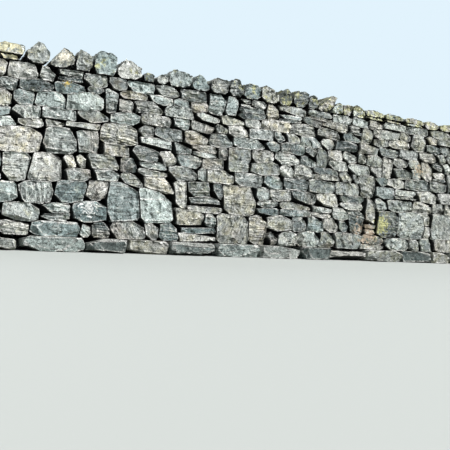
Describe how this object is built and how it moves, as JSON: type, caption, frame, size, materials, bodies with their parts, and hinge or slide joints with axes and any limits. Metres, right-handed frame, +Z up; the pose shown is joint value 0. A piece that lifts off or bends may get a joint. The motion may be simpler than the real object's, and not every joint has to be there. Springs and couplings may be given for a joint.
{
  "type": "dry stone field wall",
  "caption": "Battered double-faced dry stone wall of coursed rubble with through stones, squared ends, rubble core and rough cope.",
  "frame": {"origin": "on the ground, under the middle of the wall's length and width", "axes": "+X along the wall, -Y towards the face that the picture shows, +Z up"},
  "size_m": [6, 0.8, 1.7081],
  "materials": {
    "footing_stone": "rough quarried rock, damp and dull",
    "face_stone": "rough weathered rock with lichen",
    "end_stone": "roughly squared weathered rock",
    "through_stone": "rough weathered rock with lichen",
    "hearting": "packed small broken stone",
    "cope_stone": "rough weathered rock with pale and yellow lichen"
  },
  "bodies": {
    "root": {"footing_front": "footing_stone", "footing_back": "footing_stone", "course_01_front": "face_stone", "course_01_back": "face_stone", "course_02_front": "face_stone", "course_02_back": "face_stone", "course_03_front": "face_stone", "course_03_back": "face_stone", "course_04_front": "face_stone", "course_04_back": "face_stone", "course_05_front": "face_stone", "course_05_back": "face_stone", "course_06_front": "face_stone", "course_06_back": "face_stone", "course_07_front": "face_stone", "course_07_back": "face_stone", "course_08_front": "face_stone", "course_08_back": "face_stone", "course_09_front": "face_stone", "course_09_back": "face_stone", "course_10_front": "face_stone", "course_10_back": "face_stone", "course_11_front": "face_stone", "course_11_back": "face_stone", "course_12_front": "face_stone", "course_12_back": "face_stone", "ties_left": "end_stone", "ties_right": "end_stone", "runners_left": "end_stone", "runners_right": "end_stone", "through_stones_row_01": "through_stone", "through_stones_row_02": "through_stone", "hearting_lift_01": "hearting", "hearting_lift_02": "hearting", "hearting_lift_03": "hearting", "hearting_beside_throughs_01": "hearting", "hearting_beside_throughs_02": "hearting", "hearting_behind_ties": "hearting", "cope_bay_01": "cope_stone", "cope_bay_02": "cope_stone", "cope_bay_03": "cope_stone", "cope_bay_04": "cope_stone", "cope_bay_05": "cope_stone", "cope_bay_06": "cope_stone"}
  },
  "joints": []
}
